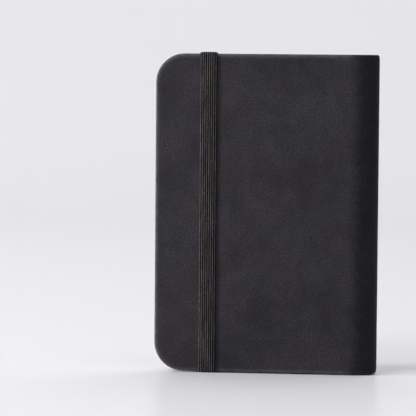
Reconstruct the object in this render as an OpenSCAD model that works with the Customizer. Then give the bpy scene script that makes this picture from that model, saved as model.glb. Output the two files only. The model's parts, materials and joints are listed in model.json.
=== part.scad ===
// Pocket notebook with a wrapped hard cover, a rounded hollow spine and a ribbed elastic strap.
//
// It stands on its tail, closed, with the strap round it. X runs from the fore-edge to the spine,
// Y from the front cover to the back cover, and Z up, from the tail to the head.
// The shapes are drawn with the mid-plane between the covers at Y = 0 and the covers' tail edge
// at Z = 0. in_place() then moves them so that the origin is under the middle of the whole object,
// on the surface that it stands on.

/* [Covers] */
// Width of the closed notebook, from the fore-edge to the spine
cover_w = 100; // [90:1:120]
// Height of the covers, from tail to head
cover_h = 143; // [120:1:200]
// Thickness of the closed notebook over both covers
book_t = 16; // [15:0.5:17]
// Radius of the rounded corners at the fore-edge
corner_r = 13; // [8:0.5:18]
// Thickness of the leather-like skin
skin_t = 0.45; // [0.3:0.05:0.5]
// Thickness of the cover boards
board_t = 1.05; // [0.9:0.05:1.2]
// Thickness of the pared skin that is turned in over the boards
turnin_t = 0.2; // [0.1:0.05:0.25]
// Width of the turned-in skin
turnin_w = 14; // [8:1:18]
// Width of the cover that stands past the leaves on three sides
overhang = 3; // [2:0.5:4]

/* [Spine] */
// Distance from the end of the flat cover to the outermost line of the spine
spine_run = 13; // [12.5:0.25:14]
// Angle of the gentle curve that leads from the flat cover into the round of the spine
lead_angle = 25; // [22:1:28]
// Distance from the outermost line of the spine to the joint where a cover bends
joint_run = 8; // [7.5:0.25:8.5]
// Thickness of the card that stiffens the spine
stiffener_t = 0.6; // [0.4:0.1:0.7]

/* [Leaves] */
// Thickness of the endpapers
endpaper_t = 0.15; // [0.1:0.01:0.18]
// Distance from the outermost line of the spine to the line where the leaves turn
gutter_run = 11; // [10.5:0.25:12]
// Radius of the rounded back of the sewn folds
fold_back_r = 14; // [12:1:20]

/* [Strap] */
// Width of the elastic strap
strap_w = 7.8; // [5:0.2:12]
// Thickness of the elastic strap
strap_t = 0.8; // [0.5:0.1:1.2]
// Thickness of the strap where the notebook stands on it
strap_tail_t = 0.5; // [0.3:0.1:0.8]
// Distance from the fore-edge to the middle of the strap
strap_from_edge = 23.9; // [20:0.1:30]
// Length of each glued end of the strap inside the back cover
anchor_len = 25; // [18:1:35]
// Thickness of the glued ends, pressed under the endpaper
anchor_t = 0.5; // [0.3:0.1:0.7]

/* [Hidden] */

cover_color = "#343237";
strap_color = "#1f1b1b";
paper_color = "#efe8d6";
board_color = "#8f8a80";
band_color = "#2b292c";
thread_color = "#f4f1e8";

// Roundness of circles and arcs
$fn = 96;
// A length that cutting shapes stand past the surface that they cut
past = 1;

// Lines across the width
fore_x = -cover_w / 2;
spine_x = cover_w / 2;
flat_x = spine_x - spine_run;
joint_x = spine_x - joint_run;
gutter_x = spine_x - gutter_run;
// Half of the slit between a cover's skin and the spine's skin
joint_slit = 0.15;
// Radius of the corners of the panel that the turned-in skin leaves bare
panel_r = 2;

// Layers from the outer face of a cover inwards
half_t = book_t / 2;
case_t = skin_t + board_t + turnin_t;
cover_t = case_t + endpaper_t;

// The spine's outline: a lead-in arc, a nose arc and the lead-in mirrored, each tangent to the next
arch_step = (spine_run - half_t) / (sin(lead_angle) + cos(lead_angle) - 1);
lead_r = half_t + arch_step * cos(lead_angle);
nose_r = lead_r - arch_step;
nose_x = spine_x - nose_r;
lead_y = lead_r - half_t;
// Steps that the arch's lead-in and nose arcs are drawn in
lead_steps = 6;
nose_steps = 30;
// The stiffening card starts this far behind the joint, so that the joint can bend
card_setback = 1.1;

// Leaves: a flyleaf at each side and twelve folded, sewn sections between them
section_count = 12;
fan_count = 4;
leaf_gap = 0.05;
section_gap = 0.025;
block_half = half_t - cover_t - endpaper_t - 2 * leaf_gap + section_gap / 2;
section_pitch = 2 * block_half / section_count;
section_t = section_pitch - section_gap;
block_low = overhang;
block_high = cover_h - overhang;
block_h = block_high - block_low;
// A section that turns stops this far short of the line that it turns about
turn_room = 3;
leaf_x = gutter_x - turn_room;
// The rounded back of the sewn folds, measured at the middle section
fold_back_x = gutter_x + 4.2;
fold_centre_x = fold_back_x - fold_back_r;
glue_x = gutter_x + 2.4;
// Half of the angle that the folds' rounded back spans
fold_back_angle = asin((block_half - section_pitch / 2) / fold_back_r);

// Spine mull, bands and thread
mull_t = 0.2;
mull_gap = 0.04;
mull_margin = 17;
band_r = 0.75;
band_tail = 6;
thread_t = 0.35;
thread_rows = 5;
thread_clearance = 0.02;

// Strap
strap_x = fore_x + strap_from_edge;
strap_left = strap_x - strap_w / 2;
strap_clearance = 0.05;
strap_front_y = -half_t - strap_clearance - strap_t;
strap_top = cover_h + strap_clearance + strap_t;
strap_bottom = -strap_clearance - strap_tail_t;
anchor_y = half_t - case_t;

// Across the head and tail the strap lies on the front cover's edge, then slants down to the leaves' edge,
// where it meets the back cover's inner face
leg_gap = 0.2;
slant_setback = 0.1;
slant_start_y = -anchor_y + slant_setback;
head_dip = block_high + leg_gap;
tail_dip = block_low - leg_gap;

// Move of the whole object to its origin
seat_y = -(strap_front_y + half_t) / 2;
seat_z = -strap_bottom;

module in_place() {
    translate([0, seat_y, seat_z]) children();
}

module mirrored_back() {
    mirror([0, 1, 0]) children();
}

// A plate that stands upright, from y0 to y0 + thickness, with its outline drawn as X and Z
module upright(y0, thickness) {
    translate([0, y0 + thickness, 0]) rotate([90, 0, 0]) linear_extrude(thickness) children();
}

// Outline of a cover: two rounded corners at the fore-edge and a straight end at end_x
module cover_outline(inset, radius, end_x) {
    left = fore_x + inset;
    low = inset;
    high = cover_h - inset;
    translate([left + radius, low]) square([end_x - left - radius, high - low]);
    translate([left, low + radius]) square([2 * radius, high - low - 2 * radius]);
    for (z = [low + radius, high - radius]) translate([left + radius, z]) circle(radius);
}

// Outline of a leaf, whose corners are rounded about the same centres as the cover's
module leaf_outline(end_x) {
    cover_outline(overhang, corner_r - overhang, end_x);
}

// Outline inside the turned-in skin
module panel_outline(end_x) {
    cover_outline(turnin_w, panel_r, end_x);
}

// Part of a round wall, from angle a0 to a1 about (cx, cy), between two radii and two heights
module arc_wall(cx, cy, r_in, r_out, a0, a1, z0, z1) {
    translate([cx, cy, z0]) rotate([0, 0, a0])
        rotate_extrude(angle = a1 - a0) translate([r_in, 0]) square([r_out - r_in, z1 - z0]);
}

// Angle on the lead-in arc at which the spine's outline reaches x
function lead_at(x) = asin((x - flat_x) / lead_r);

// Points along an arc about (cx, cy), leaving out the first and last few when skip is above 0
function arc_points(cx, cy, r, a0, a1, steps, skip = 0) =
    [for (i = [skip:steps - skip]) let (a = a0 + (a1 - a0) * i / steps) [cx + r * cos(a), cy + r * sin(a)]];

function backwards(points) = [for (i = [len(points) - 1:-1:0]) points[i]];

// Line of the spine's arch at a depth under its outline, from x = start_x in front to the same x behind
function arch_line(depth, start_x) =
    let (start = lead_at(start_x), r = lead_r - depth, nose_half = 90 - lead_angle)
    concat(
        arc_points(flat_x, lead_y, r, start - 90, -nose_half, lead_steps),
        arc_points(nose_x, 0, nose_r - depth, -nose_half, nose_half, nose_steps, 1),
        arc_points(flat_x, -lead_y, r, nose_half, 90 - start, lead_steps));

// The spine's arch between two depths, starting at x = start_x on both sides
module arch_shell(depth0, depth1, start_x, z0, z1) {
    translate([0, 0, z0]) linear_extrude(z1 - z0)
        polygon(concat(arch_line(depth0, start_x), backwards(arch_line(depth1, start_x))));
}

// Skin of the front cover: the outer sheet, the edges it wraps and the turned-in border
module cover_tray() {
    upright(-half_t, skin_t) cover_outline(0, corner_r, flat_x);
    arc_wall(flat_x, lead_y, lead_r - skin_t, lead_r, -90, lead_at(joint_x - joint_slit) - 90, 0, cover_h);
    upright(-half_t, case_t) difference() {
        cover_outline(0, corner_r, flat_x);
        cover_outline(skin_t, corner_r - skin_t, flat_x + past);
    }
    upright(-half_t + skin_t + board_t, turnin_t) difference() {
        cover_outline(0, corner_r, flat_x);
        panel_outline(flat_x + past);
    }
}

// Board of the front cover, thicker where the turned-in skin doesn't cover it
module cover_board() {
    upright(-half_t + skin_t, board_t) cover_outline(skin_t, corner_r - skin_t, flat_x);
    upright(-half_t + skin_t + board_t, turnin_t) panel_outline(flat_x);
}

module pastedown() {
    upright(-half_t + case_t, endpaper_t) leaf_outline(flat_x + card_setback);
}

module flyleaf() {
    upright(-half_t + cover_t + leaf_gap, endpaper_t) leaf_outline(leaf_x);
}

// The space that the strap's glued ends take in the inner face of the back cover
module strap_pockets() {
    tail_space = [tail_dip - strap_tail_t - strap_clearance, anchor_len];
    head_space = [cover_h - anchor_len, head_dip + strap_t + strap_clearance];
    for (space = [tail_space, head_space])
        translate([strap_left - strap_clearance, anchor_y - past, space[0]])
            cube([strap_w + 2 * strap_clearance, past + anchor_t, space[1] - space[0]]);
}

module front_cover_skin() {
    color(cover_color) in_place() cover_tray();
}

module front_cover_board() {
    color(board_color) in_place() cover_board();
}

module front_pastedown() {
    color(paper_color) in_place() pastedown();
}

module front_flyleaf() {
    color(paper_color) in_place() flyleaf();
}

module back_cover_skin() {
    color(cover_color) in_place() difference() {
        mirrored_back() cover_tray();
        strap_pockets();
    }
}

module back_cover_board() {
    color(board_color) in_place() difference() {
        mirrored_back() cover_board();
        strap_pockets();
    }
}

module back_pastedown() {
    color(paper_color) in_place() mirrored_back() pastedown();
}

module back_flyleaf() {
    color(paper_color) in_place() mirrored_back() flyleaf();
}

// Skin of the spine, with its head and tail edges turned in over the stiffening card
module spine_skin() {
    inner = skin_t + stiffener_t;
    start_x = joint_x + joint_slit;
    color(cover_color) in_place() {
        arch_shell(0, skin_t, start_x, 0, cover_h);
        for (z = [0, cover_h - skin_t]) arch_shell(0, inner + turnin_t, start_x, z, z + skin_t);
        for (z = [0, cover_h - turnin_w])
            arch_shell(inner, inner + turnin_t, joint_x + card_setback, z, z + turnin_w);
    }
}

module spine_stiffener() {
    color(board_color) in_place()
        arch_shell(skin_t, skin_t + stiffener_t, joint_x + card_setback, skin_t, cover_h - skin_t);
}

// A strip that follows the folds' rounded back, between two depths behind it
module back_strip(depth0, depth1, z0, z1) {
    arc_wall(fold_centre_x, 0, fold_back_r + depth0, fold_back_r + depth1,
        -fold_back_angle, fold_back_angle, z0, z1);
}

// Open-weave cloth glued to the back of the sewn folds
module spine_mull() {
    color(thread_color) in_place()
        back_strip(mull_gap, mull_gap + mull_t, block_low + mull_margin, block_high - mull_margin);
}

// A corded band that hides the ends of the folds, with its cloth tail behind them
module band() {
    translate([fold_centre_x, 0, block_high + band_r]) rotate([0, 0, -fold_back_angle])
        rotate_extrude(angle = 2 * fold_back_angle) translate([fold_back_r - band_r + mull_t, 0])
            circle(band_r, $fn = 32);
    back_strip(mull_gap, mull_gap + mull_t, block_high - band_tail, block_high + band_r);
}

module head_band() {
    color(band_color) in_place() band();
}

module tail_band() {
    color(band_color) in_place() translate([0, 0, cover_h]) mirror([0, 0, 1]) band();
}

// The thread that links the sections, in rows across their folds
module thread_row_set(extra) {
    row_pitch = block_h / (thread_rows + 1);
    for (row = [1:thread_rows]) {
        z = block_low + row * row_pitch;
        back_strip(-thread_t - extra, extra, z - thread_t / 2 - extra, z + thread_t / 2 + extra);
    }
}

module sewing_thread() {
    color(thread_color) in_place() thread_row_set(0);
}

// Middle of section n, counted from the front cover
function section_y(n) = (n - 0.5) * section_pitch - block_half;

// The X at which the fold of a section at height y over the mid-plane ends
function fold_end_x(y) = fold_centre_x + sqrt(fold_back_r * fold_back_r - y * y);

// Folds of all the sections, glued together behind the gutter, each with its own round back
module sewn_folds() {
    color(paper_color) in_place() difference() {
        translate([0, 0, block_low]) linear_extrude(block_h) {
            translate([gutter_x, -block_half]) square([glue_x - gutter_x, 2 * block_half]);
            for (n = [1:section_count]) {
                y = section_y(n);
                centre_x = fold_end_x(y) - section_t / 2;
                translate([gutter_x, y - section_t / 2]) square([centre_x - gutter_x, section_t]);
                translate([centre_x, y]) circle(section_t / 2, $fn = 24);
            }
        }
        thread_row_set(thread_clearance);
    }
}

// The sections near a cover turn with it, so they stop short of the gutter
function section_end_x(n) = n > fan_count && n <= section_count - fan_count ? gutter_x : leaf_x;

module signature(n) {
    color(paper_color) in_place()
        upright(section_y(n) - section_t / 2, section_t) leaf_outline(section_end_x(n));
}

// Front run of the strap, down the whole height of the front cover
module strap_strand() {
    color(strap_color) in_place() translate([strap_left, strap_front_y, strap_bottom])
        cube([strap_w, strap_t, strap_top - strap_bottom]);
}

// A run of the strap from the front run to its glued end. Its inner face is at edge_z on the front
// cover's edge and at dip_z at the back cover. Its thickness lies above the inner face where rise is
// above 0 (at the head), and below it where rise is below 0 (at the tail)
module strap_leg(edge_z, dip_z, rise) {
    front_y = strap_front_y + strap_t;
    end_y = anchor_y + anchor_t;
    inner = [[front_y, edge_z], [slant_start_y, edge_z], [anchor_y, dip_z], [end_y, dip_z]];
    outer = [[end_y, dip_z + rise], [slant_start_y, edge_z + rise], [front_y, edge_z + rise]];
    color(strap_color) in_place() translate([strap_left, 0, 0])
        rotate([90, 0, 90]) linear_extrude(strap_w) polygon(concat(inner, outer));
}

module strap_head_leg() {
    strap_leg(cover_h + strap_clearance, head_dip, strap_t);
}

module strap_tail_leg() {
    strap_leg(-strap_clearance, tail_dip, -strap_tail_t);
}

// An end of the strap that is glued under the back endpaper
module strap_anchor(low_z, high_z) {
    color(strap_color) in_place() translate([strap_left, anchor_y, low_z])
        cube([strap_w, anchor_t, high_z - low_z]);
}

module strap_head_anchor() {
    strap_anchor(cover_h - anchor_len, head_dip);
}

module strap_tail_anchor() {
    strap_anchor(tail_dip, anchor_len);
}

front_cover_skin();
front_cover_board();
front_pastedown();
front_flyleaf();
back_cover_skin();
back_cover_board();
back_pastedown();
back_flyleaf();
spine_skin();
spine_stiffener();
spine_mull();
head_band();
tail_band();
sewn_folds();
sewing_thread();
signature(1);  // signature_01
signature(2);  // signature_02
signature(3);  // signature_03
signature(4);  // signature_04
signature(5);  // signature_05
signature(6);  // signature_06
signature(7);  // signature_07
signature(8);  // signature_08
signature(9);  // signature_09
signature(10);  // signature_10
signature(11);  // signature_11
signature(12);  // signature_12
strap_strand();
strap_head_leg();
strap_tail_leg();
strap_head_anchor();
strap_tail_anchor();
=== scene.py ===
"""Looks of the pocket notebook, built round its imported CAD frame."""
import json
import math
import random

import bmesh
import bpy
import numpy as np
from mathutils import Matrix, Vector, noise

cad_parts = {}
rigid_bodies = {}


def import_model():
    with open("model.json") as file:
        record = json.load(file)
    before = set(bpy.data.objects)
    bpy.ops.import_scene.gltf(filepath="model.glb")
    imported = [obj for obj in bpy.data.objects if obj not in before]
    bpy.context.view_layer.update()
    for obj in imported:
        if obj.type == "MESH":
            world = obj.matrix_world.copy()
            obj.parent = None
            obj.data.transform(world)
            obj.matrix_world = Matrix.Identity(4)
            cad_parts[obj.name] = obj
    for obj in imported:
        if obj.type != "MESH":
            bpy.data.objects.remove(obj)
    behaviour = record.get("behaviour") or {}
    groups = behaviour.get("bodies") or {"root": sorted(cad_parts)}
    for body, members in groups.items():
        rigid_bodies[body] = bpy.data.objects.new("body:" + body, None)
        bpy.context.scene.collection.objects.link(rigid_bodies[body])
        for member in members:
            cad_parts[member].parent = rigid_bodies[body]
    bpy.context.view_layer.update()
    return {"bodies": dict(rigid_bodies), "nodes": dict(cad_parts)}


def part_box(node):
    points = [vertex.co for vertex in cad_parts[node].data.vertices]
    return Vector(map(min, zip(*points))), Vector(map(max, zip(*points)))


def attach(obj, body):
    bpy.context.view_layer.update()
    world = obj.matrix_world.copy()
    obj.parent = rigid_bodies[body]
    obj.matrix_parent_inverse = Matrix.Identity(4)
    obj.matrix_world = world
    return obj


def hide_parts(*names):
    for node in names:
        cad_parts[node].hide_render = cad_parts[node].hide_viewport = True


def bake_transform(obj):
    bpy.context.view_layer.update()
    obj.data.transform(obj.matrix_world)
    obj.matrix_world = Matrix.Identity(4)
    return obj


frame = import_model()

MM = 0.001
rng = random.Random(20)

# ---------------------------------------------------------------- sizes, from the frame

FRONT_LOW, FRONT_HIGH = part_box("front_cover_skin")
BACK_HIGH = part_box("back_cover_skin")[1]
BOARD_LOW, BOARD_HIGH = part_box("front_cover_board")
PASTE_LOW, PASTE_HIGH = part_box("front_pastedown")
LEAF_LOW, LEAF_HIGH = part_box("signature_05")
SPINE_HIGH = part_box("spine_skin")[1]
CARD_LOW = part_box("spine_stiffener")[0]

FORE_X = FRONT_LOW.x
SPINE_X = SPINE_HIGH.x
FLAT_X = BOARD_HIGH.x
GUTTER_X = LEAF_HIGH.x
TAIL_Z = FRONT_LOW.z
HEAD_Z = FRONT_HIGH.z
HEIGHT = HEAD_Z - TAIL_Z
HALF_T = (BACK_HIGH.y - FRONT_LOW.y) / 2
MID_Y = (BACK_HIGH.y + FRONT_LOW.y) / 2
SKIN_T = BOARD_LOW.y - FRONT_LOW.y
CASE_T = PASTE_LOW.y - FRONT_LOW.y
PAPER_T = PASTE_HIGH.y - PASTE_LOW.y
OVERHANG = LEAF_LOW.x - FORE_X

# Values that the frame's boxes don't hold
CORNER_R = 13 * MM
TURNIN_T = 0.2 * MM
TURNIN_W = 14 * MM
LEAD_ANGLE = math.radians(25)

# The spine's outline, as in the CAD: a lead-in arc and a nose arc, tangent to each other
SPINE_RUN = SPINE_X - FLAT_X
ARCH_STEP = (SPINE_RUN - HALF_T) / (math.sin(LEAD_ANGLE) + math.cos(LEAD_ANGLE) - 1)
LEAD_R = HALF_T + ARCH_STEP * math.cos(LEAD_ANGLE)
NOSE_R = LEAD_R - ARCH_STEP
NOSE_X = SPINE_X - NOSE_R
FLAT_LEN = FLAT_X - FORE_X
LEAD_LEN = LEAD_R * LEAD_ANGLE
WRAP_LEN = FLAT_LEN + LEAD_LEN + NOSE_R * (math.pi / 2 - LEAD_ANGLE)
CARD_S = FLAT_LEN + LEAD_R * math.asin((CARD_LOW.x - FLAT_X) / LEAD_R)

# ---------------------------------------------------------------- camera

CAMERA_DISTANCE = 1.30
CAMERA_AZIMUTH = math.radians(5.86)
CAMERA_HEIGHT = 0.146
CAMERA_ROLL = math.radians(0.471)
CAMERA_LENS = 249.9
AIM_ASIDE = -0.0267
AIM_HEIGHT = 0.0740


def make_camera():
    """A long lens, a little to the right of the front and rolled by the notebook's slight lean."""
    side = Vector((math.cos(CAMERA_AZIMUTH), math.sin(CAMERA_AZIMUTH), 0))
    place = CAMERA_DISTANCE * Vector((math.sin(CAMERA_AZIMUTH), -math.cos(CAMERA_AZIMUTH), 0))
    place.z = CAMERA_HEIGHT
    aim = side * AIM_ASIDE + Vector((0, 0, AIM_HEIGHT))
    ahead = (aim - place).normalized()
    level = ahead.cross(Vector((0, 0, 1))).normalized()
    upright = level.cross(ahead)
    c, s = math.cos(CAMERA_ROLL), math.sin(CAMERA_ROLL)
    right = c * level + s * upright
    up = c * upright - s * level
    data = bpy.data.cameras.new("camera")
    data.lens = CAMERA_LENS
    data.sensor_width = 36
    data.clip_start = 0.05
    data.clip_end = 50
    camera = bpy.data.objects.new("camera", data)
    camera.matrix_world = Matrix.Translation(place) @ Matrix((right, up, -ahead)).transposed().to_4x4()
    bpy.context.scene.collection.objects.link(camera)
    bpy.context.scene.camera = camera


make_camera()

# ---------------------------------------------------------------- node helpers


class Shader:
    """A node material that is built one node at a time."""

    def __init__(self, name, **principled):
        self.material = bpy.data.materials.new(name)
        self.material.use_nodes = True
        self.tree = self.material.node_tree
        self.surface = self.tree.nodes["Principled BSDF"]
        for socket, value in principled.items():
            self.surface.inputs[socket.replace("_", " ")].default_value = value

    def add(self, kind, inputs=(), **settings):
        node = self.tree.nodes.new(kind)
        for key, value in settings.items():
            setattr(node, key, value)
        for socket, value in dict(inputs).items():
            self.put(node.inputs[socket], value)
        return node

    def put(self, socket, value):
        if isinstance(value, bpy.types.NodeSocket):
            self.tree.links.new(value, socket)
        else:
            socket.default_value = value

    def set(self, socket, value):
        self.put(self.surface.inputs[socket], value)

    def coordinates(self, from_rest):
        """Position in millimetres.

        It comes from the stored rest place, which stays put as a piece bends, or from the CAD node's own."""
        if from_rest:
            source = self.add("ShaderNodeAttribute", attribute_name="rest").outputs["Vector"]
        else:
            source = self.add("ShaderNodeTexCoord").outputs["Object"]
        scaled = self.add("ShaderNodeVectorMath", {0: source}, operation="SCALE")
        scaled.inputs["Scale"].default_value = 1 / MM
        return scaled.outputs[0]

    def stretched(self, coordinates, x, y, z):
        """Coordinates that draw a pattern out along each axis whose factor is under 1."""
        factors = {0: coordinates, 1: (x, y, z)}
        return self.add("ShaderNodeVectorMath", factors, operation="MULTIPLY").outputs[0]

    def attribute(self, name):
        return self.add("ShaderNodeAttribute", attribute_name=name).outputs["Fac"]

    def noise(self, coordinates, size, detail=3.0, roughness=0.5):
        """Noise from 0 to 1 whose features are about size millimetres."""
        inputs = {"Vector": coordinates, "Scale": 1 / size, "Detail": detail, "Roughness": roughness}
        return self.add("ShaderNodeTexNoise", inputs).outputs["Fac"]

    def math(self, operation, a, b=0.0):
        return self.add("ShaderNodeMath", {0: a, 1: b}, operation=operation).outputs[0]

    def plus(self, a, b):
        return self.math("ADD", a, b)

    def times(self, a, b):
        return self.math("MULTIPLY", a, b)

    def wave(self, phase):
        """A sine of the phase, from 0 to 1."""
        return self.map(self.math("SINE", phase), -1.0, 1.0)

    def map(self, value, low, high, to_low=0.0, to_high=1.0):
        return self.add("ShaderNodeMapRange", {
            "Value": value, "From Min": low, "From Max": high,
            "To Min": to_low, "To Max": to_high}).outputs["Result"]

    def mix(self, share, a, b, mode="MIX"):
        node = self.add("ShaderNodeMix", data_type="RGBA", blend_type=mode)
        for socket, value in ((0, share), (6, a), (7, b)):
            is_colour = not isinstance(value, (float, bpy.types.NodeSocket))
            self.put(node.inputs[socket], (*value, 1) if is_colour else value)
        return node.outputs[2]

    def tinted(self, colour, factors):
        """A colour whose red, green and blue are multiplied by factors."""
        return self.mix(1.0, colour, factors, "MULTIPLY")

    def bump(self, height, distance, strength=1.0, under=None):
        """Bump of a height from 0 to 1 that stands for distance millimetres."""
        inputs = {"Height": height, "Distance": distance * MM, "Strength": strength}
        node = self.add("ShaderNodeBump", inputs)
        if under is not None:
            self.put(node.inputs["Normal"], under)
        return node.outputs["Normal"]


# ---------------------------------------------------------------- materials

# The covers' skin: its two charcoal tones, the rim's tone (rubbed wear with a painted highlight), and what
# multiplies a tone in places (with painted shade round the spine)
SKIN_DARK = (0.0093, 0.0088, 0.0118)
SKIN_LIGHT = (0.0190, 0.0176, 0.0224)
# Painted highlight mixed with real wear: the rim's paler tone stands in for the top light catching the
# rounded head and fore-edge
RIM_WEAR_AND_HIGHLIGHT = (0.088, 0.082, 0.090)
SPECKLE_DARKER = (0.48, 0.48, 0.48)
SPECKLE_LIGHTER = (1.58, 1.58, 1.58)
WARMER = (1.10, 0.97, 0.98)
# Painted shade: the skin round the spine is darkened to stand in for its shading as it turns away from the
# side light
SPINE_PAINTED_SHADE = (0.58, 0.59, 0.64)
GRAIN_SIZE = 0.55


def cover_material():
    """Soft, matt, leather-like skin: cloudy charcoal, a fine nap, a paler rim that is partly rubbed wear and
    partly a painted highlight, and painted shade round the spine.
    """
    m = Shader("cover_skin", Roughness=0.6, Specular_IOR_Level=0.22)
    at = m.coordinates(True)
    clouds = m.noise(at, 21, 3.0, 0.55)
    blotches = m.noise(m.stretched(at, 1, 1, 0.8), 6.5, 4.0, 0.6)
    nap = m.noise(at, 0.9, 5.0, 0.65)
    shade = m.plus(m.times(clouds, 0.6), m.times(blotches, 0.4))
    base = m.mix(m.map(shade, 0.38, 0.62), SKIN_DARK, SKIN_LIGHT)
    speckle = m.map(m.noise(at, 0.75, 2.0, 0.6), 0.32, 0.68)
    base = m.mix(speckle, m.tinted(base, SPECKLE_DARKER), m.tinted(base, SPECKLE_LIGHTER))
    warmth = m.map(m.noise(at, 15, 2.0, 0.5), 0.42, 0.62)
    base = m.mix(warmth, base, m.tinted(base, WARMER))
    # Painted shade: the skin darkens round the spine
    base = m.mix(m.attribute("stretch"), base, m.tinted(base, SPINE_PAINTED_SHADE))
    # The rim is lightened by rubbed wear and by a painted highlight where the top light catches the rounded
    # edge
    rim_lightening = m.times(m.attribute("edge"), m.map(m.noise(at, 3.0, 4.0, 0.6), 0.3, 0.6, 0.35, 1.0))
    m.set("Base Color", m.mix(rim_lightening, base, RIM_WEAR_AND_HIGHLIGHT))
    m.set("Roughness", m.map(m.plus(clouds, m.times(nap, 0.5)), 0.5, 1.0, 0.56, 0.68))
    cells = {"Vector": at, "Scale": 1 / GRAIN_SIZE, "Randomness": 1.0}
    grain = m.add("ShaderNodeTexVoronoi", cells).outputs["Distance"]
    relief = m.plus(m.times(grain, 0.5), m.noise(at, 0.22, 3.0, 0.6))
    soft = m.bump(m.noise(at, 7.0, 2.0, 0.5), 0.05, 0.6)
    m.set("Normal", m.bump(relief, 0.018, 0.55, soft))
    return m.material


# The strap's yarn: painted shade in the grooves, a painted highlight on the ridges, and the tone of the
# winding's darker bands
YARN_PAINTED_GROOVE_SHADE = (0.0006, 0.0005, 0.0005)
YARN_PAINTED_RIDGE_HIGHLIGHT = (0.142, 0.124, 0.127)
YARN_IN_BAND = (0.006, 0.005, 0.005)
WINDING_PITCH = 0.42


def strap_material():
    """Ribbed elastic: dark covering yarn, wound across each rib, with a paler, warmer painted highlight on
    the ridges and painted shade in the grooves.
    """
    m = Shader("strap", Roughness=0.82, Specular_IOR_Level=0.15, Sheen_Weight=0.04, Sheen_Roughness=0.5)
    at = m.coordinates(True)
    turns = m.times(m.attribute("along"), 2 * math.pi / WINDING_PITCH)
    wander = m.noise(m.stretched(at, 1.2, 1.2, 0.25), 1.0, 2.0)
    winding = m.wave(m.plus(turns, m.times(wander, 9.0)))
    streaks = m.noise(m.stretched(at, 1.0, 1.0, 0.12), 0.8, 3.0, 0.6)
    knots = m.map(m.noise(at, 0.85, 2.0, 0.5), 0.38, 0.62, 0.55, 1.15)
    # Painted light on the ribs: highlight on each ridge, shade in the grooves and on the inner side
    lit = m.times(m.times(m.attribute("ridge"), knots), m.map(streaks, 0.3, 0.7, 0.55, 1.15))
    base = m.mix(lit, YARN_PAINTED_GROOVE_SHADE, YARN_PAINTED_RIDGE_HIGHLIGHT)
    m.set("Base Color", m.mix(m.map(winding, 0.0, 1.0, 0.0, 0.3), base, YARN_IN_BAND))
    fuzz = m.noise(at, 0.18, 3.0, 0.7)
    m.set("Normal", m.bump(m.plus(m.times(winding, 0.7), fuzz), 0.06, 0.6))
    return m.material


# Ruling, in millimetres: the pitch, and bare margins that also keep ink off the leaves' cut edges
RULE_PITCH = 6.4
HEAD_MARGIN = 14.0
TAIL_MARGIN = 9.0
FORE_MARGIN = 0.4
INK = (0.20, 0.21, 0.25)
INK_STRENGTH = 0.55

# Paper, as shares of its own tint: its fibres, its clouds and the darkest leaf
FIBRE_TONE = 0.93
CLOUD_TONE = 0.97
DARKEST_LEAF = 0.74


def paper_material(name, tint, ruled):
    """Uncoated paper: soft fibres, a tone that differs from leaf to leaf, and faint lines if ruled."""
    m = Shader(name, Roughness=0.85, Specular_IOR_Level=0.25)
    at = m.coordinates(True)
    fibres = m.noise(m.stretched(at, 1.0, 1.0, 0.35), 0.7, 5.0, 0.7)
    clouds = m.noise(at, 9.0, 3.0, 0.6)
    base = m.mix(m.map(fibres, 0.35, 0.7), tint, tuple(c * FIBRE_TONE for c in tint))
    base = m.mix(m.map(clouds, 0.35, 0.65), base, tuple(c * CLOUD_TONE for c in tint))
    base = m.mix(m.attribute("tone"), base, tuple(c * DARKEST_LEAF for c in tint))
    if ruled:
        split = m.add("ShaderNodeSeparateXYZ", {0: at})
        x, z = split.outputs["X"], split.outputs["Z"]
        line = m.map(m.math("PINGPONG", z, RULE_PITCH / 2), 0.06, 0.16, 1.0, 0.0)
        below_head = m.math("LESS_THAN", z, LEAF_HIGH.z / MM - HEAD_MARGIN)
        above_tail = m.math("GREATER_THAN", z, LEAF_LOW.z / MM + TAIL_MARGIN)
        off_edge = m.math("GREATER_THAN", x, LEAF_LOW.x / MM + FORE_MARGIN)
        ruled_area = m.times(m.times(below_head, above_tail), off_edge)
        base = m.mix(m.times(m.times(line, ruled_area), INK_STRENGTH), base, INK)
    m.set("Base Color", base)
    m.set("Normal", m.bump(m.noise(at, 0.35, 4.0, 0.7), 0.02, 0.5))
    return m.material


def fold_material():
    """The sections' folded backs: paper, with a line of painted shade in the valley between each leaf's fold
    and a little glue in patches.
    """
    half_pitch = 0.06
    painted_valley_shade, crest, glue = (0.52, 0.47, 0.38), (0.82, 0.77, 0.66), (0.70, 0.62, 0.48)
    m = Shader("fold_paper", Roughness=0.8, Specular_IOR_Level=0.3)
    at = m.coordinates(False)
    y = m.add("ShaderNodeSeparateXYZ", {0: at}).outputs["Y"]
    leaf = m.map(m.math("PINGPONG", y, half_pitch), 0.0, half_pitch)
    fibres = m.noise(at, 0.6, 4.0, 0.7)
    # Painted shade: darker in the valleys between the leaves' folds
    base = m.mix(m.map(leaf, 0.0, 0.5), painted_valley_shade, crest)
    m.set("Base Color", m.mix(m.map(fibres, 0.35, 0.7, 0.0, 0.4), base, glue))
    m.set("Normal", m.bump(m.plus(leaf, fibres), 0.03, 0.6))
    return m.material


def board_material():
    """Grey board: pressed fibres and flecks."""
    pale, grey, fleck = (0.30, 0.28, 0.24), (0.20, 0.185, 0.16), (0.10, 0.09, 0.08)
    m = Shader("grey_board", Roughness=0.9, Specular_IOR_Level=0.2)
    at = m.coordinates(False)
    fibres = m.noise(m.stretched(at, 1.0, 1.0, 0.5), 0.8, 6.0, 0.75)
    flecks = m.map(m.noise(at, 0.5, 2.0), 0.66, 0.72)
    base = m.mix(m.map(fibres, 0.3, 0.7), pale, grey)
    m.set("Base Color", m.mix(flecks, base, fleck))
    m.set("Normal", m.bump(fibres, 0.08, 0.7))
    return m.material


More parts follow.
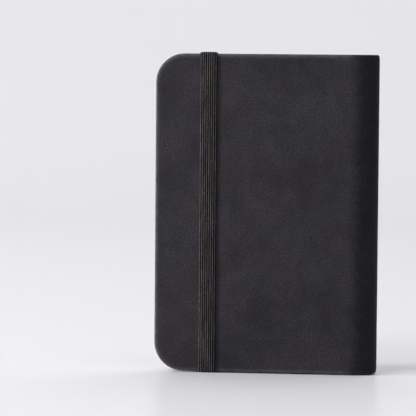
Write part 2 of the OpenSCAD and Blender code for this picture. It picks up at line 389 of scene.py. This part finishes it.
def cloth_material(name, light, dark, pitch, from_rest):
    """Plain-woven cloth: threads over and under at a pitch in millimetres."""
    m = Shader(name, Roughness=0.85, Specular_IOR_Level=0.25, Sheen_Weight=0.15)
    at = m.coordinates(from_rest)
    split = m.add("ShaderNodeSeparateXYZ", {0: at})
    across = m.math("SINE", m.times(split.outputs["Y"], 2 * math.pi / pitch))
    along = m.math("SINE", m.times(split.outputs["Z"], 2 * math.pi / pitch))
    weave = m.map(m.times(across, along), -1.0, 1.0)
    fuzz = m.noise(at, 0.25, 3.0, 0.7)
    m.set("Base Color", m.mix(m.times(weave, m.map(fuzz, 0.2, 0.8, 0.6, 1.0)), dark, light))
    m.set("Normal", m.bump(m.plus(weave, fuzz), 0.08, 0.8))
    return m.material


def thread_material():
    """Waxed sewing thread, with its twist."""
    shade, light = (0.62, 0.59, 0.52), (0.88, 0.86, 0.80)
    m = Shader("sewing_thread", Roughness=0.55, Specular_IOR_Level=0.4, Sheen_Weight=0.1)
    at = m.coordinates(False)
    split = m.add("ShaderNodeSeparateXYZ", {0: at})
    twist = m.wave(m.plus(m.times(split.outputs["Y"], 9.0), m.times(split.outputs["Z"], 14.0)))
    fuzz = m.noise(at, 0.3, 3.0, 0.7)
    m.set("Base Color", m.mix(m.times(twist, fuzz), shade, light))
    m.set("Normal", m.bump(twist, 0.06, 0.8))
    return m.material


# ---------------------------------------------------------------- mesh helpers


def smoothstep(t):
    """0 up to t = 0, 1 from t = 1, and a smooth rise between."""
    t = np.clip(t, 0, 1)
    return t * t * (3 - 2 * t)


MERGE_DISTANCE = 1e-7
SHORTEST_EDGE = 1e-8


class Mesh:
    """Points, faces and extra point values of a piece, gathered part by part."""

    def __init__(self):
        self.points = []
        self.faces = []
        self.values = {}

    def add(self, points, **values):
        """Adds points with a value each, or one value for all, and gives the first one's number."""
        first = len(self.points)
        self.points.extend(points)
        for key, value in values.items():
            filled = np.broadcast_to(np.asarray(value, float), (len(points),))
            self.values.setdefault(key, []).extend(filled.tolist())
        return first

    def piece(self, name, material, sharp_above):
        """A mesh object with outward faces and its rest place stored on each point.

        An edge whose faces differ by more than sharp_above degrees stays sharp."""
        mesh = bpy.data.meshes.new(name)
        mesh.from_pydata([tuple(v) for v in self.points], [], self.faces)
        for key, values in self.values.items():
            layer = mesh.attributes.new(key, "FLOAT", "POINT")
            layer.data.foreach_set("value", np.asarray(values, np.float32))
        bm = bmesh.new()
        bm.from_mesh(mesh)
        bmesh.ops.remove_doubles(bm, verts=bm.verts, dist=MERGE_DISTANCE)
        bmesh.ops.dissolve_degenerate(bm, edges=bm.edges, dist=SHORTEST_EDGE)
        bmesh.ops.recalc_face_normals(bm, faces=bm.faces)
        bm.to_mesh(mesh)
        bm.free()
        rest = mesh.attributes.new("rest", "FLOAT_VECTOR", "POINT")
        places = np.zeros(len(mesh.vertices) * 3, np.float32)
        mesh.vertices.foreach_get("co", places)
        rest.data.foreach_set("vector", places)
        mesh.shade_smooth()
        mesh.set_sharp_from_angle(angle=math.radians(sharp_above))
        mesh.materials.append(material)
        piece = bpy.data.objects.new(name, mesh)
        bpy.context.scene.collection.objects.link(piece)
        return piece


# ---------------------------------------------------------------- covers


def wrap(s, depth, z, side):
    """Place of a point that is s along the cover from the fore-edge and z above the tail.

    depth is how far it lies under the outer face, and side is -1 for the front and 1 for the back."""
    s, depth, z = np.broadcast_arrays(np.asarray(s, float), depth, z)
    lead = np.clip((s - FLAT_LEN) / LEAD_R, 0, LEAD_ANGLE)
    nose = LEAD_ANGLE + np.clip((s - FLAT_LEN - LEAD_LEN) / NOSE_R, 0, None)
    flat = (FORE_X + s, HALF_T - depth)
    on_lead = (FLAT_X + (LEAD_R - depth) * np.sin(lead), HALF_T - LEAD_R + (LEAD_R - depth) * np.cos(lead))
    on_nose = (NOSE_X + (NOSE_R - depth) * np.sin(nose), (NOSE_R - depth) * np.cos(nose))
    x, y = (
        np.where(s <= FLAT_LEN, f, np.where(s <= FLAT_LEN + LEAD_LEN, a, b))
        for f, a, b in zip(flat, on_lead, on_nose)
    )
    return np.stack([x, MID_Y + side * y, TAIL_Z + z], -1)


JOINT_T = 0.66 * MM
SPINE_T = 1.25 * MM


def wall_thickness(s):
    """Thickness of the covered wall: the board, then the bare joint, then the spine's card."""
    into_joint = smoothstep((s - FLAT_LEN) / (1.6 * MM))
    onto_card = smoothstep((s - CARD_S + 0.8 * MM) / (1.0 * MM))
    return CASE_T + (JOINT_T - CASE_T) * into_joint + (SPINE_T - JOINT_T) * onto_card


# How much of the rim's rubbed wear and painted highlight the tail and the spine are spared, and how far in
# it reaches: the tail gets no top light and the spine lies in shade
WEAR_AND_HIGHLIGHT_SPARED_AT_TAIL = 0.35
WEAR_AND_HIGHLIGHT_SPARED_ON_SPINE = 0.85
WEAR_AND_HIGHLIGHT_REACH = 1.15 * MM


def rim_wear_and_highlight(s, z):
    """How much the rim is lightened, by rubbed wear and a painted highlight: most at head and fore-edge,
    less at the tail, which is out of the top light, and hardly round the spine, which lies in shade.
    """
    at_tail = 1 - smoothstep((z - 2 * MM) / (4 * MM))
    on_spine = smoothstep((s - FLAT_LEN + 2 * MM) / (5 * MM))
    return (1 - WEAR_AND_HIGHLIGHT_SPARED_AT_TAIL * at_tail) * (1 - WEAR_AND_HIGHLIGHT_SPARED_ON_SPINE * on_spine)


def skin_stretch(s):
    """How much painted shade darkens the skin round the spine: 0 up to 2 mm past the board's edge, and 1
    from 7 mm past it.
    """
    return smoothstep((s - FLAT_LEN - 2 * MM) / (5 * MM))


def spread(start, stop, step):
    """Even steps of about step, from start up to stop, which is left out."""
    count = max(1, round((stop - start) / step))
    return [start + (stop - start) * i / count for i in range(count)]


STRAP_LOW, STRAP_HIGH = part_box("strap_strand")
STRAP_W = STRAP_HIGH.x - STRAP_LOW.x
STRAP_MID_X = (STRAP_LOW.x + STRAP_HIGH.x) / 2
STRAP_MID_S = STRAP_MID_X - FORE_X

# The seat that the strap's glued ends press into the back cover's turned-in border
SEAT_DEPTH = 0.5 * MM
SEAT_START = 1.9 * MM
SEAT_PLAY = 0.04 * MM

EDGE_R = 0.75 * MM
INNER_EDGE_R = 0.3 * MM
CORNER_STEPS = 18

# The gathers where the turned-in border goes round a corner
PLEATS_PER_HALF_TURN = 9
PLEAT_DEPTH = 0.09 * MM
# Keeps the angle defined at a corner's centre
NEVER_ZERO = 1e-9

# The skin's dip at the spine's two ends, and the size and height of its unevenness
END_DIP = 0.35 * MM
END_DIP_REACH = 2.5 * MM
SWELL_SIZE = 17 * MM
SWELL_HEIGHT = 0.025 * MM


def cover_columns():
    """Distances from the fore-edge at which the cover's mesh has a line.

    They are closer together where it bends, with a pair at each side of the strap's seat."""
    lines = spread(CORNER_R, FLAT_LEN - 4 * MM, 2.6 * MM)
    lines += spread(FLAT_LEN - 4 * MM, FLAT_LEN, 0.8 * MM)
    lines += spread(FLAT_LEN, CARD_S + 1 * MM, 0.18 * MM)
    lines += spread(CARD_S + 1 * MM, WRAP_LEN, 0.2 * MM)
    for half in (-STRAP_W / 2, STRAP_W / 2):
        lines += [STRAP_MID_S + half * 1.005, STRAP_MID_S + half * 1.03]
    return np.array(sorted(lines) + [WRAP_LEN])


def outline_ring(columns, rows, inset):
    """(distance, height) of the points round a cover's three free edges, moved in by inset."""
    turn = np.linspace(0, math.pi / 2, CORNER_STEPS + 2)[1:-1]
    radius = max(CORNER_R - inset, 0)
    centre = max(CORNER_R, inset)
    head = [(max(s, centre), HEIGHT - inset) for s in columns[::-1]]
    head_corner = [(centre - radius * math.sin(t), HEIGHT - centre + radius * math.cos(t)) for t in turn]
    fore = [(inset, min(max(z, centre), HEIGHT - centre)) for z in rows[::-1]]
    tail_corner = [(centre - radius * math.cos(t), centre - radius * math.sin(t)) for t in turn]
    tail = [(max(s, centre), inset) for s in columns]
    return np.array(head + head_corner + fore + tail_corner + tail)


def cover_profile():
    """(inset, depth, kind) of each ring from the middle of the outer face, over the edge and back inside.

    kind is outer (the outer face), rim (the edge, outside and in), flange (the turned-in border's face
    towards the leaves), under_rim (that border's face towards the board) or under (the outer sheet's face
    towards the board). A rim, flange or under_rim follows the wall's thickness."""
    rings = [(d * MM, 0.0, "outer") for d in (13, 10.5, 8, 6, 4.5, 3.4, 2.5, 1.8, 1.2)]
    for t in np.linspace(0, math.pi / 2, 7):
        rings.append((EDGE_R * (1 - math.sin(t)), EDGE_R * (1 - math.cos(t)), "rim"))
    for t in np.linspace(0, math.pi / 2, 5):
        rings.append((INNER_EDGE_R * (1 - math.cos(t)), CASE_T - INNER_EDGE_R * (1 - math.sin(t)), "rim"))
    rings += [(d * MM, CASE_T, "flange") for d in (1.0, 1.8, 2.0, 3.0, 4.5, 6.5, 9, 11.5, 13, 14)]
    rings += [(d * MM, CASE_T - TURNIN_T, "under_rim") for d in (14, 13, 8, 2.0, 1.8, 0.7)]
    rings += [(SKIN_T, CASE_T - TURNIN_T - 0.2 * MM, "rim"), (SKIN_T, SKIN_T + 0.15 * MM, "under")]
    rings += [(d * MM, SKIN_T, "under") for d in (0.6, 2, 5, 9, 13)]
    return rings


def corner_pleats(s, to_end):
    """Extra depth of the gathers round a corner. to_end is the distance from the nearer end."""
    from_centre = np.hypot(s - CORNER_R, to_end - CORNER_R)
    in_corner = (s < CORNER_R) & (to_end < CORNER_R)
    angle = np.arctan2(CORNER_R - s, CORNER_R - to_end + NEVER_ZERO)
    pleat = np.abs(np.cos(angle * PLEATS_PER_HALF_TURN)) * np.clip(from_centre / CORNER_R, 0, 1)
    return np.where(in_corner, PLEAT_DEPTH * pleat, 0)


def skin_depth(s, z, inset, depth, kind, side):
    """Depth under the flat outer face of each point of a ring or sheet of the skin."""
    if kind in ("rim", "under_rim", "flange"):
        depth = depth * (wall_thickness(s) / CASE_T)
    elif kind == "under":
        depth = np.full_like(s, depth)
    on_spine = END_DIP * smoothstep((s - CARD_S) / (WRAP_LEN - CARD_S))
    depth = depth + on_spine * np.clip(1 - inset / END_DIP_REACH, 0, 1) ** 2
    to_end = np.minimum(z, HEIGHT - z)
    if kind == "flange" and OVERHANG / 3 < inset < TURNIN_W:
        depth = depth + corner_pleats(s, to_end)
    if side > 0 and kind in ("under_rim", "flange") and SEAT_START < inset < TURNIN_W + MM:
        beside_strap = np.abs(s - STRAP_MID_S) < STRAP_W / 2 + SEAT_PLAY
        in_seat = (to_end < TURNIN_W + MM) & beside_strap
        limit = CASE_T - SEAT_DEPTH - (TURNIN_T if kind == "under_rim" else 0)
        depth = np.where(in_seat, np.minimum(depth, limit), depth)
    return depth


def swell(s, z, side):
    """Slight unevenness of the glued skin."""
    at = [noise.noise(Vector((a / SWELL_SIZE, b / SWELL_SIZE, 3.0 + side))) for a, b in zip(s, z)]
    return SWELL_HEIGHT * np.array(at)


def cover_skin(name, side, material):
    """The wrapped skin of one cover and its half of the spine: one closed shell, turned in at its edges."""
    columns = cover_columns()
    rows = np.array(spread(CORNER_R, HEIGHT - CORNER_R, 2.6 * MM) + [HEIGHT - CORNER_R])
    mesh = Mesh()

    rings = []
    for inset, depth, kind in cover_profile():
        outline = outline_ring(columns, rows, inset)
        s, z = outline[:, 0], outline[:, 1]
        deep = skin_depth(s, z, inset, depth, kind, side)
        if kind == "outer":
            deep = deep + swell(s, z, side)
        # Rings on the outer face and the rim take the rubbed wear and painted highlight; the turned-in
        # border does not
        rim_can_lighten = kind in ("outer", "rim") and depth <= CASE_T - 2 * TURNIN_T
        near_edge = math.exp(-((inset / WEAR_AND_HIGHLIGHT_REACH) ** 2)) if rim_can_lighten else 0.0
        places = wrap(s, deep, z, side)
        rings.append(mesh.add(places, edge=near_edge * rim_wear_and_highlight(s, z), stretch=skin_stretch(s)))
    count = len(outline)
    for a, b in zip(rings, rings[1:]):
        for i in range(count - 1):
            mesh.faces.append((a + i, a + i + 1, b + i + 1, b + i))

    # The outer sheet's two faces, inside the rings
    grids = []
    row_count = len(rows)
    for depth, kind in ((0.0, "outer"), (SKIN_T, "under")):
        s, z = (g.ravel() for g in np.meshgrid(columns, rows, indexing="ij"))
        deep = skin_depth(s, z, CORNER_R, depth, kind, side)
        if kind == "outer":
            deep = deep + swell(s, z, side)
        first = mesh.add(wrap(s, deep, z, side), edge=0.0, stretch=skin_stretch(s))
        grids.append(first)
        for i in range(len(columns) - 1):
            for j in range(row_count - 1):
                a = first + i * row_count + j
                mesh.faces.append((a, a + 1, a + row_count + 1, a + row_count))

    # The cut down the middle of the spine, and its two ends
    last = (len(columns) - 1) * row_count
    outer, under = ([first + last + j for j in range(row_count)] for first in grids)
    for j in range(row_count - 1):
        mesh.faces.append((outer[j], outer[j + 1], under[j + 1], under[j]))
    for end in (0, count - 1):
        mesh.faces.append(tuple(ring + end for ring in rings))
    return mesh.piece(name, material, sharp_above=50)


# ---------------------------------------------------------------- sheets


def sheet_slab(mesh, near, far, low, high, **values):
    """A thin sheet, whose points get the given values.

    near and far are the (x, y) lines of its two faces, and low and high are its heights along them."""
    n = len(near)
    corners = [(near, low), (near, high), (far, low), (far, high)]
    first = [mesh.add(np.column_stack([xy, z]), **values) for xy, z in corners]
    near_low, near_high, far_low, far_high = first
    for i in range(n - 1):
        mesh.faces.append((near_low + i, near_low + i + 1, near_high + i + 1, near_high + i))
        mesh.faces.append((far_low + i, far_high + i, far_high + i + 1, far_low + i + 1))
        mesh.faces.append((near_low + i, far_low + i, far_low + i + 1, near_low + i + 1))
        mesh.faces.append((near_high + i, near_high + i + 1, far_high + i + 1, far_high + i))
    for i in (0, n - 1):
        mesh.faces.append((near_low + i, near_high + i, far_high + i, far_low + i))


def rounded_ends(inset, radius, beyond):
    """A sheet's columns: distances from the fore-edge, and the low and high ends' heights above the tail.

    Two rounded corners start at inset, and beyond holds the distances past them."""
    turn = np.linspace(0, math.pi / 2, 11)
    s = np.concatenate([inset + radius * (1 - np.cos(turn)), np.asarray(beyond)])
    low = np.concatenate([inset + radius * (1 - np.sin(turn)), np.full(len(beyond), inset)])
    return s, low, HEIGHT - low


SECTIONS = 12
LEAVES_PER_SECTION = 8
CURL_LEN = 13 * MM
FIRST_COLUMN = CORNER_R + 6 * MM

# In millimetres: how far a leaf's fore-edge may stand back, and how far it may sit above or below its place
LARGEST_TRIM = 0.10
LARGEST_DROP = 0.05
# The thinnest and thickest leaf, as shares of the leaves' pitch
THINNEST = 0.86
THICKEST = 0.97


def leaf_columns():
    """Distances past the rounded corner for a leaf that bends near the gutter."""
    end = GUTTER_X - FORE_X
    return spread(FIRST_COLUMN, end - CURL_LEN, 9 * MM) + spread(end - CURL_LEN, end, 0.7 * MM) + [end]


def leaves(name, node, material):
    """The eight leaves of one section, each a separate thin sheet."""
    low_corner, high_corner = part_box(node)
    pitch = (high_corner.y - low_corner.y) / LEAVES_PER_SECTION
    mesh = Mesh()
    s, low, high = rounded_ends(OVERHANG, CORNER_R - OVERHANG, leaf_columns())
    for k in range(LEAVES_PER_SECTION):
        trim = rng.uniform(0, LARGEST_TRIM) * MM
        drop = rng.uniform(-LARGEST_DROP, LARGEST_DROP) * MM
        x = FORE_X + s + trim * np.clip(1 - (s - OVERHANG) / (10 * MM), 0, 1)
        y = low_corner.y + pitch * k
        thick = pitch * rng.uniform(THINNEST, THICKEST)
        near = np.column_stack([x, np.full_like(x, y)])
        far = np.column_stack([x, np.full_like(x, y + thick)])
        tone = rng.uniform(0.0, 1.0)
        sheet_slab(mesh, near, far, TAIL_Z + low + drop, TAIL_Z + high + drop, tone=tone)
    return mesh.piece(name, material, sharp_above=30)


def flyleaf(name, node, material):
    """The free half of an endpaper, from the fore-edge to the gutter."""
    low_corner, high_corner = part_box(node)
    mesh = Mesh()
    s, low, high = rounded_ends(OVERHANG, CORNER_R - OVERHANG, leaf_columns())
    x = FORE_X + s
    near = np.column_stack([x, np.full_like(x, low_corner.y)])
    far = np.column_stack([x, np.full_like(x, high_corner.y)])
    sheet_slab(mesh, near, far, TAIL_Z + low, TAIL_Z + high, tone=0.0)
    return mesh.piece(name, material, sharp_above=30)


GLUE_T = 0.004 * MM


def pastedown(name, side, material):
    """The endpaper glued inside a cover, pressed down into the joint beside the spine."""
    joint_start = FLAT_LEN - MM
    joint_end = CARD_S - 0.4 * MM
    flat = spread(FIRST_COLUMN, joint_start, 12 * MM)
    pressed = spread(joint_start, joint_end, 0.2 * MM)
    s, low, high = rounded_ends(OVERHANG, CORNER_R - OVERHANG, flat + pressed + [joint_end])
    glued = wall_thickness(s) + GLUE_T
    near = wrap(s, glued, 0, side)[:, :2]
    far = wrap(s, glued + PAPER_T, 0, side)[:, :2]
    mesh = Mesh()
    sheet_slab(mesh, near, far, TAIL_Z + low, TAIL_Z + high, tone=0.0)
    return mesh.piece(name, material, sharp_above=30)


# ---------------------------------------------------------------- strap

RIBS = 8
POINTS_PER_RIB = 10
STRAP_CLEARANCE = 0.05 * MM

# Shares of the strap's half thickness: the outer and inner grooves, and the ribs' unevenness along it
OUTER_GROOVE = 0.75
INNER_GROOVE = 0.25
RIB_UNEVENNESS = 0.10
UNEVEN_EVERY = 9 * MM
# Share of the whole thickness that is lost towards the two side edges
EDGE_THINNING = 0.45
# How far the ribs and the side edges stray sideways, and over what length
RIB_WANDER = 0.06 * MM
RIB_WANDERS_EVERY = 6 * MM
EDGE_WANDER = 0.03 * MM
EDGE_WANDERS_EVERY = 5 * MM
# The painted rib light (highlight on each ridge, shade in the grooves): how narrow its peak is, its mean,
# its unevenness and its share on the inner side, which faces the cover and gets painted shade
RIDGE_SHARPNESS = 4.0
RIDGE_MEAN = 0.8
RIDGE_UNEVENNESS = 0.45
RIDGE_INSIDE = 0.5
STRAP_STEP = 0.7 * MM


def turned(v, angle):
    """A flat vector turned by an angle."""
    c, n = math.cos(angle), math.sin(angle)
    return Vector((v.x * c - v.y * n, v.x * n + v.y * c))


def rounded_path(corners, runs, step):
    """Points along a path of straight runs joined by arcs.

    corners are (y, z, radius) and runs are (thickness, depth of the ribs), one for each straight run.
    Each point is (y, z, outward direction, thickness, depth of the ribs), and outward is to the left of
    the way the path goes."""
    route = []
    places = [Vector((y, z)) for y, z, _ in corners]
    start = places[0]
    for i in range(1, len(corners)):
        ahead = (places[i] - places[i - 1]).normalized()
        thick, ribs = runs[i - 1]
        out = Vector((-ahead.y, ahead.x))
        last = i == len(corners) - 1
        if last:
            stop = places[i]
        else:
            onward = (places[i + 1] - places[i]).normalized()
            turn = ahead.angle_signed(onward)
            radius = corners[i][2]
            stop = places[i] - ahead * radius * math.tan(abs(turn) / 2)
        length = (stop - start).length
        count = max(1, round(length / step))
        for k in range(count + (1 if last else 0)):
            at = start + (stop - start) * (k / count)
            route.append((at.x, at.y, out, thick, ribs))
        if last:
            break
        centre = stop - math.copysign(radius, turn) * out
        next_thick, next_ribs = runs[i]
        steps = max(2, math.ceil(abs(turn) / math.radians(10)))
        spoke = stop - centre
        for k in range(steps):
            f = k / steps
            at = centre + turned(spoke, -turn * f)
            here_thick = thick + (next_thick - thick) * f
            here_ribs = ribs + (next_ribs - ribs) * f
            route.append((at.x, at.y, turned(out, -turn * f), here_thick, here_ribs))
        start = centre + turned(spoke, -turn)
    return route


def strap_route():
    """The strap's way from its tail end inside the back cover, round the front cover, to its head end."""
    leg_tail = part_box("strap_tail_leg")
    leg_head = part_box("strap_head_leg")
    end_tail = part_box("strap_tail_anchor")
    end_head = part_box("strap_head_anchor")
    full = STRAP_HIGH.y - STRAP_LOW.y
    pressed = TAIL_Z - STRAP_CLEARANCE - leg_tail[0].z
    end_t = end_tail[1].y - end_tail[0].y
    end_y = (end_tail[0].y + end_tail[1].y) / 2
    front_y = (STRAP_LOW.y + STRAP_HIGH.y) / 2
    crest_y = FRONT_LOW.y + CASE_T
    head_z = leg_head[1].z - full / 2
    tail_z = leg_tail[0].z + pressed / 2
    cover_bend = EDGE_R + full / 2
    corners = [
        (end_y, end_tail[1].z, 0),
        (end_y, leg_tail[1].z - pressed / 2, 0.6 * MM),
        (crest_y, tail_z, 1.6 * MM),
        (front_y, tail_z, cover_bend),
        (front_y, head_z, cover_bend),
        (crest_y, head_z, 1.0 * MM),
        (end_y, leg_head[0].z + full / 2, 0.75 * MM),
        (end_y, end_head[0].z, 0),
    ]
    glued_run = (end_t, 0.35)
    tail_run = (pressed, 0.7)
    front_run = (full, 1.0)
    head_run = (full, 0.9)
    runs = [glued_run, tail_run, tail_run, front_run, front_run, head_run, glued_run]
    return rounded_path(corners, runs, STRAP_STEP)


def strap(name, material):
    """One woven elastic band with eight ribs, all the way from one glued end to the other."""
    route = strap_route()
    across = np.linspace(-0.5, 0.5, RIBS * POINTS_PER_RIB + 1)
    in_rib = (across + 0.5) * RIBS
    from_ridge = 2 * (in_rib % 1.0) - 1
    round_rib = np.sqrt(np.clip(1 - from_ridge ** 2, 0, 1))
    round_rib[0] = round_rib[-1] = 0.0
    # Painted highlight: 1 on each rib's top, falling to 0 in the grooves and at the side edges, which get
    # painted shade
    rib_highlight_peak = (0.5 + 0.5 * np.cos(math.pi * from_ridge)) ** RIDGE_SHARPNESS
    mesh = Mesh()
    n = len(across)
    first = []
    run = 0.0
    for i, (y, z, out, thick, ribs) in enumerate(route):
        if i:
            run += math.dist((y, z), route[i - 1][:2])
        wave = [noise.noise(Vector((run / UNEVEN_EVERY, k * 3.7, 1.0))) for k in range(RIBS)]
        lift = np.array([wave[min(int(r), RIBS - 1)] for r in in_rib])
        groove = OUTER_GROOVE * ribs
        outer = thick / 2 * (1 - groove + groove * round_rib) * (1 + RIB_UNEVENNESS * lift * round_rib)
        outer = outer - EDGE_THINNING * thick * ribs * np.abs(2 * across) ** 5
        inner = -thick / 2 * (1 - INNER_GROOVE + INNER_GROOVE * round_rib)
        stray = [noise.noise(Vector((run / RIB_WANDERS_EVERY, r * 0.9, 8.0))) for r in in_rib]
        shift = RIB_WANDER * np.array(stray)
        shift[0] = shift[-1] = EDGE_WANDER * noise.noise(Vector((run / EDGE_WANDERS_EVERY, 0.0, 4.0)))
        x = STRAP_MID_X + across * STRAP_W + shift
        outer_line = np.column_stack([x, y + out[0] * outer, z + out[1] * outer])
        inner_line = np.column_stack([x, y + out[0] * inner, z + out[1] * inner])
        ring = np.concatenate([outer_line, inner_line[::-1]])
        outer_ridge = rib_highlight_peak * (RIDGE_MEAN + RIDGE_UNEVENNESS * lift)
        ridge = np.concatenate([outer_ridge, rib_highlight_peak[::-1] * RIDGE_INSIDE])
        first.append(mesh.add(ring, ridge=np.clip(ridge, 0, 1), along=run / MM))
    count = 2 * n
    for a, b in zip(first, first[1:]):
        for k in range(count):
            mesh.faces.append((a + k, a + (k + 1) % count, b + (k + 1) % count, b + k))
    for a in (first[0], first[-1]):
        for k in range(n - 1):
            mesh.faces.append((a + k, a + k + 1, a + count - 2 - k, a + count - 1 - k))
    return mesh.piece(name, material, sharp_above=80)


# ---------------------------------------------------------------- bands

# The cord, and the wraps round it as a share of its radius
CORD_R = 0.72 * MM
CORD_POINTS = 14
CORD_STEPS = 110
STEPS_PER_WRAP = 4.6
WRAP_HEIGHT = 0.07
SMALLEST_END = 0.15

# The round back that a band follows: its radius, how far inside it the cord's middle runs, and how far
# outside it the cloth strip starts and ends
BAND_R = 14 * MM
CORD_SINK = 0.55 * MM
STRIP_GAP = 0.04 * MM
STRIP_T = 0.2 * MM
STRIP_REACH = 0.24 * MM
BAND_STEPS = 24
# The radius at which a band is as wide as its CAD box
WIDTH_R = BAND_R - 0.2 * MM


def band(name, node, material, top):
    """A corded band: cloth wound round a core in fine wraps, along the rounded back of the folds.

    Its cloth goes on as a flat strip that lies on that back."""
    low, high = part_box(node)
    folds_low, folds_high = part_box("sewn_folds")
    mull_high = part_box("spine_mull")[1]
    half = (high.y - low.y) / 2
    centre_x = mull_high.x - BAND_R - STRIP_REACH
    z_core = folds_high.z + CORD_R if top else folds_low.z - CORD_R
    sweep = math.asin(min(1.0, half / WIDTH_R))
    mesh = Mesh()
    first = []
    for i in range(CORD_STEPS + 1):
        a = -sweep + 2 * sweep * i / CORD_STEPS
        wraps = 1 + WRAP_HEIGHT * math.cos(2 * math.pi * i / STEPS_PER_WRAP)
        end = math.sqrt(max(0.0, 1 - (abs(i / CORD_STEPS - 0.5) * 2) ** 24))
        r = CORD_R * wraps * max(end, SMALLEST_END)
        ring = []
        for k in range(CORD_POINTS):
            b = 2 * math.pi * k / CORD_POINTS
            out = BAND_R - CORD_SINK + r * math.cos(b)
            ring.append((centre_x + out * math.cos(a), MID_Y + out * math.sin(a), z_core + r * math.sin(b)))
        first.append(mesh.add(ring))
    for a, b in zip(first, first[1:]):
        for k in range(CORD_POINTS):
            mesh.faces.append((a + k, a + (k + 1) % CORD_POINTS, b + (k + 1) % CORD_POINTS, b + k))
    for end in (first[0], first[-1]):
        mesh.faces.append(tuple(end + k for k in range(CORD_POINTS)))

    angles = [-sweep + 2 * sweep * i / BAND_STEPS for i in range(BAND_STEPS + 1)]
    strip_r = BAND_R + STRIP_GAP
    near, far = (
        np.array([(centre_x + r * math.cos(a), MID_Y + r * math.sin(a)) for a in angles])
        for r in (strip_r, strip_r + STRIP_T)
    )
    strip_low, strip_high = (low.z, z_core) if top else (z_core, high.z)
    sheet_slab(mesh, near, far, np.full(len(near), strip_low), np.full(len(near), strip_high))
    return mesh.piece(name, material, sharp_above=60)


# ---------------------------------------------------------------- build

COVER = cover_material()
STRAP_YARN = strap_material()
LEAF_PAPER = paper_material("leaf_paper", (0.66, 0.61, 0.505), True)
ENDPAPER = paper_material("endpaper", (0.65, 0.60, 0.49), False)
BAND_CLOTH = cloth_material("band_cloth", (0.055, 0.052, 0.056), (0.012, 0.011, 0.012), 0.55, True)
MULL_CLOTH = cloth_material("mull_cloth", (0.80, 0.77, 0.70), (0.45, 0.41, 0.34), 0.9, False)
GREY_BOARD = board_material()

front = cover_skin("front_cover_wrap", -1, COVER)
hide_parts("front_cover_skin", "spine_skin")
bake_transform(front)

back = cover_skin("back_cover_wrap", 1, COVER)
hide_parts("back_cover_skin", "spine_skin")
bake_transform(back)

for side, word in ((-1, "front"), (1, "back")):
    glued = pastedown(word + "_endpaper_glued", side, ENDPAPER)
    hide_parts(word + "_pastedown")
    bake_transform(glued)
    free = flyleaf(word + "_endpaper_free", word + "_flyleaf", ENDPAPER)
    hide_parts(word + "_flyleaf")
    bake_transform(free)

for n in range(1, SECTIONS + 1):
    node = f"signature_{n:02d}"
    section = leaves(f"leaves_{n:02d}", node, LEAF_PAPER)
    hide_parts(node)
    if node in frame["bodies"]:
        side = -1 if n <= SECTIONS // 2 else 1
        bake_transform(section)
    else:
        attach(section, "block")

elastic = strap("elastic_strap", STRAP_YARN)
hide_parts("strap_strand", "strap_head_leg", "strap_tail_leg",
            "strap_head_anchor", "strap_tail_anchor")
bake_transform(elastic)

for word, top in (("head", True), ("tail", False)):
    corded = band(f"{word}_band_cord", f"{word}_band", BAND_CLOTH, top)
    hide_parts(f"{word}_band")
    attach(corded, "block")

for node, material in (
    ("front_cover_board", GREY_BOARD), ("back_cover_board", GREY_BOARD), ("spine_stiffener", GREY_BOARD),
    ("sewn_folds", fold_material()), ("sewing_thread", thread_material()), ("spine_mull", MULL_CLOTH),
):
    materials = frame["nodes"][node].data.materials
    materials.clear()
    materials.append(material)

# ---------------------------------------------------------------- floor, backdrop and light


def stage_material():
    """Satin paper sweep: it mirrors the object's foot faintly."""
    m = Shader("stage", Roughness=0.3, Specular_IOR_Level=0.024)
    m.set("Base Color", (0.78, 0.775, 0.805, 1))
    return m.material


STAGE_BEND_STEPS = 24


def make_stage():
    """A pale floor that curves up into a backdrop behind the object."""
    wide, near, far, high, radius = 6.0, -3.5, 3.9, 4.0, 2.8
    line = [(near, 0.0)]
    for i in range(STAGE_BEND_STEPS + 1):
        a = math.pi / 2 * i / STAGE_BEND_STEPS
        line.append((far - radius + radius * math.sin(a), radius - radius * math.cos(a)))
    line.append((far, high))
    points = [(x, y, z) for y, z in line for x in (-wide, wide)]
    faces = [(2 * i, 2 * i + 1, 2 * i + 3, 2 * i + 2) for i in range(len(line) - 1)]
    mesh = bpy.data.meshes.new("floor_and_backdrop")
    mesh.from_pydata(points, [], faces)
    mesh.shade_smooth()
    mesh.materials.append(stage_material())
    floor = bpy.data.objects.new("floor_and_backdrop", mesh)
    bpy.context.scene.collection.objects.link(floor)


def soft_light(name, azimuth, elevation, distance, size, strength):
    """A softbox that faces the object's middle.

    azimuth is in degrees to the left of the front, elevation in degrees, distance and size in metres, and
    strength goes with the light that falls on a surface facing it."""
    a, e = math.radians(azimuth), math.radians(elevation)
    aim = Vector((0, 0, HEIGHT / 2))
    away = Vector((-math.sin(a) * math.cos(e), -math.cos(a) * math.cos(e), math.sin(e)))
    data = bpy.data.lights.new(name, "AREA")
    data.shape = "RECTANGLE"
    data.size, data.size_y = size
    data.energy = strength * math.pi * distance ** 2
    lamp = bpy.data.objects.new(name, data)
    lamp.location = aim + away * distance
    lamp.rotation_euler = (-away).to_track_quat("-Z", "Y").to_euler()
    bpy.context.scene.collection.objects.link(lamp)


make_stage()
soft_light("side_key", azimuth=72.5, elevation=6, distance=2.6, size=(0.45, 0.5), strength=5.2)
soft_light("front_key", azimuth=35, elevation=35, distance=2.0, size=(0.7, 0.7), strength=1.0)
soft_light("overhead", azimuth=180, elevation=76, distance=2.6, size=(5.0, 4.8), strength=4.62)

world = bpy.data.worlds.new("studio")
world.use_nodes = True
background = world.node_tree.nodes["Background"]
background.inputs["Color"].default_value = (0.93, 0.94, 1.0, 1)
background.inputs["Strength"].default_value = 0.06
bpy.context.scene.world = world
bpy.context.scene.view_settings.view_transform = "Standard"
